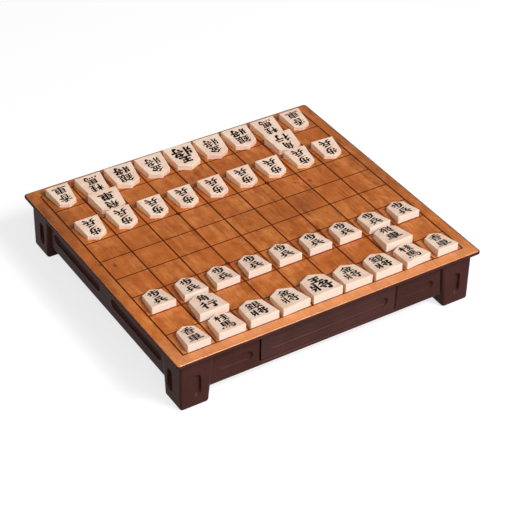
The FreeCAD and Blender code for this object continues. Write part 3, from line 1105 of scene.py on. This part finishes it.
FLY = strokes(
    (LEVEL, (16, 10), (60, 4)),
    (HOOK, (60, 5), (66, 30), (84, 43), (93, 30)),
    (SWEEP, (91, 5), (83, 13), (70, 18)),
    (DOT, (72, 19), (87, 29)),
    (SWEEP, (40, 17), (26, 28), (5, 35)),
    (LEVEL, (0, 54), (56, 47)),
    (SWEEP, (20, 32), (20, 66), (1, 97)),
    (FIRM, (42, 21), (42, 100)),
    (HOOK, (58, 48), (66, 75), (82, 96), (98, 82)),
    (SWEEP, (93, 50), (85, 58), (72, 63)),
    (DOT, (76, 65), (91, 76)),
)


@dataclass(frozen=True)
class Letter:
    """One character's place on a piece, in millimetres.

    Args:
        shape: its strokes.
        weight: full width of the brush.
        width: of its square, across the piece.
        low, high: distance of its foot and its head from the heel.
    """

    shape: tuple[Stroke, ...]
    weight: float
    width: float
    low: float
    high: float


class Rank(Enum):
    """Kinds of piece by the word that their names hold, with the upper and the lower character of each."""

    KING = (Letter(CROWN, 2.7, 12.8, 16.6, 23.8), Letter(GENERAL, 2.4, 19.8, 4.0, 15.6))
    ROOK = (Letter(FLY, 1.5, 12.2, 15.4, 24.6), Letter(CART, 1.8, 15.0, 3.8, 14.0))
    BISHOP = (Letter(CORNER, 1.6, 10.0, 15.0, 24.6), Letter(GO, 2.1, 15.6, 3.4, 13.6))
    GOLD = (Letter(GOLD, 1.55, 11.4, 15.2, 23.4), Letter(GENERAL, 1.5, 15.0, 4.6, 14.2))
    SILVER = (Letter(SILVER, 1.5, 13.2, 13.6, 22.8), Letter(GENERAL, 1.9, 15.2, 3.6, 12.4))
    KNIGHT = (Letter(LAUREL, 1.6, 11.6, 13.6, 22.8), Letter(HORSE, 1.6, 13.2, 2.8, 12.4))
    LANCE = (Letter(INCENSE, 1.3, 11.6, 13.0, 22.8), Letter(CART, 1.4, 13.8, 2.2, 11.8))
    PAWN = (Letter(WALK, 1.75, 11.0, 12.4, 22.6), Letter(SOLDIER, 1.7, 12.2, 2.2, 11.4))

    @classmethod
    def of(cls, piece: str) -> "Rank":
        """Rank whose word is in a piece's name."""
        return next(rank for rank in cls if rank.name.lower() in piece)


LOOKS_UP = 0.5  # least rise of the normal of a face that looks up
FLATNESS = 0.1 * MM  # largest distance of a point from the face that it lies on


@dataclass(frozen=True)
class Face:
    """Sloping top of a piece.

    Args:
        origin: middle of the heel's edge.
        right: unit vector across the piece, as its player sees it.
        up: unit vector from the heel to the tip, along the slope.
    """

    origin: Vector
    right: Vector
    up: Vector

    @classmethod
    def of(cls, node: str) -> "Face":
        """Find the sloping top of a solid: its largest face that looks up.

        Args:
            node: name of the solid.

        Returns:
            The top.
        """
        data = frame["nodes"][node].data
        top = max((f for f in data.polygons if f.normal.z > LOOKS_UP), key=lambda f: f.area)
        normal = top.normal.copy()
        right = Vector((normal.y, -normal.x, 0.0)).normalized()
        up = normal.cross(right)
        corner = data.vertices[top.vertices[0]].co
        points = [vertex.co for vertex in data.vertices]
        heel = min(p.dot(up) for p in points if abs(normal.dot(p - corner)) < FLATNESS)
        sides = [p.dot(right) for p in points]
        origin = right * (min(sides) + max(sides)) / 2 + up * heel + normal * normal.dot(corner)
        return cls(origin, right, up)

    def point(self, across: float, along: float, above: float) -> Vector:
        """Point a distance across from the middle, along from the heel, and above the face."""
        return self.origin + self.right * across + self.up * along + self.right.cross(self.up) * above


def smooth_path(points: Sequence[Point], steps: int) -> list[Vector]:
    """Smooth curve through two or more points.

    Args:
        points: what it passes through.
        steps: parts of the curve from one of them to the next.

    Returns:
        Points of the curve.
    """
    knots = [Vector(p) for p in points]
    knots = [2 * knots[0] - knots[1], *knots, 2 * knots[-1] - knots[-2]]
    path = []
    for before, start, end, after in zip(knots, knots[1:], knots[2:], knots[3:]):
        for step in range(steps):
            t = step / steps
            curve = 2 * start + (end - before) * t + (2 * before - 5 * start + 4 * end - after) * t**2
            path.append((curve + (3 * start - before - 3 * end + after) * t**3) / 2)
    return [*path, knots[-2]]


@dataclass
class BrushWork:
    """Lettering of one piece as thin closed ribbons of ink."""

    steps: int = 9
    film: float = 0.05 * MM
    layer: float = 0.002 * MM
    square: float = 100.0

    def mesh(self, face: Face, letters: Sequence[Letter]) -> bmesh.types.BMesh:
        """Write characters on a face.

        Args:
            face: top of the piece.
            letters: the characters, in the order in which they are written.

        Returns:
            The closed mesh.
        """
        made = bmesh.new()
        above = self.film
        for letter in letters:
            for stroke in letter.shape:
                self._ribbon(made, face, letter, stroke, above)
                above += self.layer
        return made

    def _ribbon(
        self, mesh: bmesh.types.BMesh, face: Face, letter: Letter, stroke: Stroke, above: float
    ) -> None:
        """Add one stroke.

        Args:
            mesh: takes the faces.
            face: top of the piece.
            letter: the character that the stroke belongs to.
            stroke: its points and touch.
            above: height of the ink over the face.
        """
        middles = self._middles(letter, stroke)
        last = len(middles) - 1
        rings = []
        for i, middle in enumerate(middles):
            ahead = middles[min(i + 1, last)] - middles[max(i - 1, 0)]
            half = letter.weight * MM * stroke.touch.width(i / last) / 2
            side = Vector((-ahead.y, ahead.x)).normalized() * half
            edges = (middle + side, middle - side)
            upper = [mesh.verts.new(face.point(e.x, e.y, above)) for e in edges]
            lower = [mesh.verts.new(face.point(e.x, e.y, -self.film)) for e in edges]
            rings.append((upper[0], upper[1], lower[1], lower[0]))
        for first, second in zip(rings, rings[1:]):
            for k in range(len(first)):
                mesh.faces.new((first[k], first[k - 1], second[k - 1], second[k]))
        mesh.faces.new(rings[0])
        mesh.faces.new(reversed(rings[-1]))

    def _middles(self, letter: Letter, stroke: Stroke) -> list[Vector]:
        """Middle of the brush along a stroke.

        Args:
            letter: the character that the stroke belongs to.
            stroke: its points.

        Returns:
            Its points on the face, across from the middle and along from the heel.
        """
        height = letter.high - letter.low
        return [
            Vector(((x / self.square - 0.5) * letter.width, letter.high - y / self.square * height)) * MM
            for x, y in smooth_path(stroke.points, self.steps)
        ]


@dataclass
class PieceSet:
    """The forty playing pieces."""

    wood: PieceWood = PieceWood()
    ink: Ink = Ink("brush_ink", linear(20, 14, 13), linear(130, 104, 88))
    brush: BrushWork = field(default_factory=BrushWork)

    def build(self) -> None:
        """Dress and letter every piece."""
        names = nodes_in(Slot.PIECE)
        dress(names, self.wood.material())
        ink = self.ink.material()
        for name in names:
            mesh = self.brush.mesh(Face.of(name), Rank.of(name).value)
            add_piece(name + "_lettering", mesh, ink, name)


# ---- studio ----------------------------------
@dataclass(frozen=True)
class Lamp:
    """Soft lamp that points at the middle of the board.

    Args:
        name: of the lamp.
        azimuth: direction that it stands in, from the front towards the right.
        elevation: above the floor.
        distance: from the middle of the board.
        size: of its side.
        level: how bright a white face turned to it becomes, as a share of white.
    """

    name: str
    azimuth: float
    elevation: float
    distance: float
    size: float
    level: float

    def place(self, middle: Vector) -> None:
        """Set up the lamp, with the power that gives its level at the middle of the board.

        Args:
            middle: the point that it is turned to.
        """
        data = bpy.data.lights.new(self.name, "AREA")
        data.size = self.size
        data.energy = self.level * (math.pi * self.distance) ** 2
        lamp = new_object(self.name, data)
        azimuth, elevation = math.radians(self.azimuth), math.radians(self.elevation)
        level = math.cos(elevation)
        towards = Vector((math.sin(azimuth) * level, -math.cos(azimuth) * level, math.sin(elevation)))
        lamp.location = middle + towards * self.distance
        lamp.rotation_euler = towards.to_track_quat("Z", "Y").to_euler()


@dataclass(frozen=True)
class FloorWhite(Finish):
    """Floor that is white where it is looked at and keeps the shadow of the board.

    Args:
        grey: how much light it throws back on the board, as a share.
        shown_grey: how much it throws back where it is looked at.
        shown_glow: light that it gives of itself where it is looked at.
        roughness: of its surface.
    """

    name: str = "floor_white"
    grey: float = 0.30
    shown_grey: float = 0.34
    shown_glow: float = 0.74
    roughness: float = 0.9

    def sockets(self, graph: Graph) -> dict:
        """What the finish gives the shader.

        Args:
            graph: of the material.

        Returns:
            Its sockets by name.
        """
        shown = graph.background_rays()
        return {
            "Base Color": graph.mix(shown, even(self.grey), even(self.shown_grey)),
            "Roughness": self.roughness,
            "Specular IOR Level": 0.0,
            "Emission Color": graph.mix(shown, BLACK, even(self.shown_glow)),
            "Emission Strength": 1.0,
        }


@dataclass
class Studio:
    """White floor, soft lamps and the camera."""

    floor_size: float = 14.0
    floor_finish: FloorWhite = FloorWhite()
    world_level: float = 0.16
    horizon_level: float = 0.85
    overhead_level: float = 0.30
    horizon_band: Span = (0.10, 0.40)
    lamps: tuple[Lamp, ...] = (
        Lamp("key_softbox", 23, 46, 2.6, 0.9, 0.72),
        Lamp("edge_light", 27, 46, 2.6, 0.40, 0.20),
        Lamp("front_fill", -8, 24, 1.5, 0.8, 0.24),
        Lamp("left_fill", -80, 32, 1.6, 0.9, 0.14),
    )
    camera_place: Place = (-0.63071, -0.99802, 0.90601)
    camera_azimuth: float = 32.63
    camera_dip: float = 36.998
    camera_roll: float = 1.141
    lens_mm: float = 120.38
    sensor_mm: float = 36.0
    nearest_seen: float = 0.05

    def build(self) -> None:
        """Set up the whole studio."""
        self._floor()
        self._world()
        low, high = CAD_BOX
        for lamp in self.lamps:
            lamp.place((low + high) / 2)
        self._camera()
        bpy.context.scene.view_settings.view_transform = "Standard"

    def _floor(self) -> None:
        """Large square floor."""
        mesh = bmesh.new()
        bmesh.ops.create_grid(mesh, x_segments=1, y_segments=1, size=self.floor_size / 2)
        floor = mesh_object("floor", mesh, self.floor_finish.material())

    def _world(self) -> None:
        """Even light from all round, which looks pale grey itself, and nearly white towards the horizon."""
        world = bpy.data.worlds.new("studio")
        bpy.context.scene.world = world
        graph = Graph(world)
        height = (graph.node("TexCoord", {}, {}, "Generated") * (0.0, 0.0, 1.0)).length()
        change = self.overhead_level - self.horizon_level
        shown = height.between(*self.horizon_band) * change + self.horizon_level
        strength = graph.background_rays() * (shown - self.world_level) + self.world_level
        shader = graph.node("Background", {}, {"Color": WHITE, "Strength": strength})
        graph.add("OutputWorld", {}, {"Surface": shader})

    def _camera(self) -> None:
        """Camera of a long lens, above the near left corner."""
        data = bpy.data.cameras.new("camera")
        data.lens = self.lens_mm
        data.sensor_width = self.sensor_mm
        data.clip_start = self.nearest_seen
        camera = new_object("camera", data)
        turn = Matrix.Rotation(-math.radians(self.camera_azimuth), 4, "Z")
        dip = Matrix.Rotation(math.radians(90.0 - self.camera_dip), 4, "X")
        roll = Matrix.Rotation(math.radians(self.camera_roll), 4, "Z")
        camera.matrix_world = Matrix.Translation(self.camera_place) @ turn @ dip @ roll
        bpy.context.scene.camera = camera


def main() -> None:
    """Dress the board set and set up the studio."""
    logging.basicConfig(level=logging.INFO, format="%(name)s: %(message)s")
    PlayingBoard().build()
    Casework().build()
    PieceSet().build()
    Studio().build()


if __name__ == "__main__":
    main()
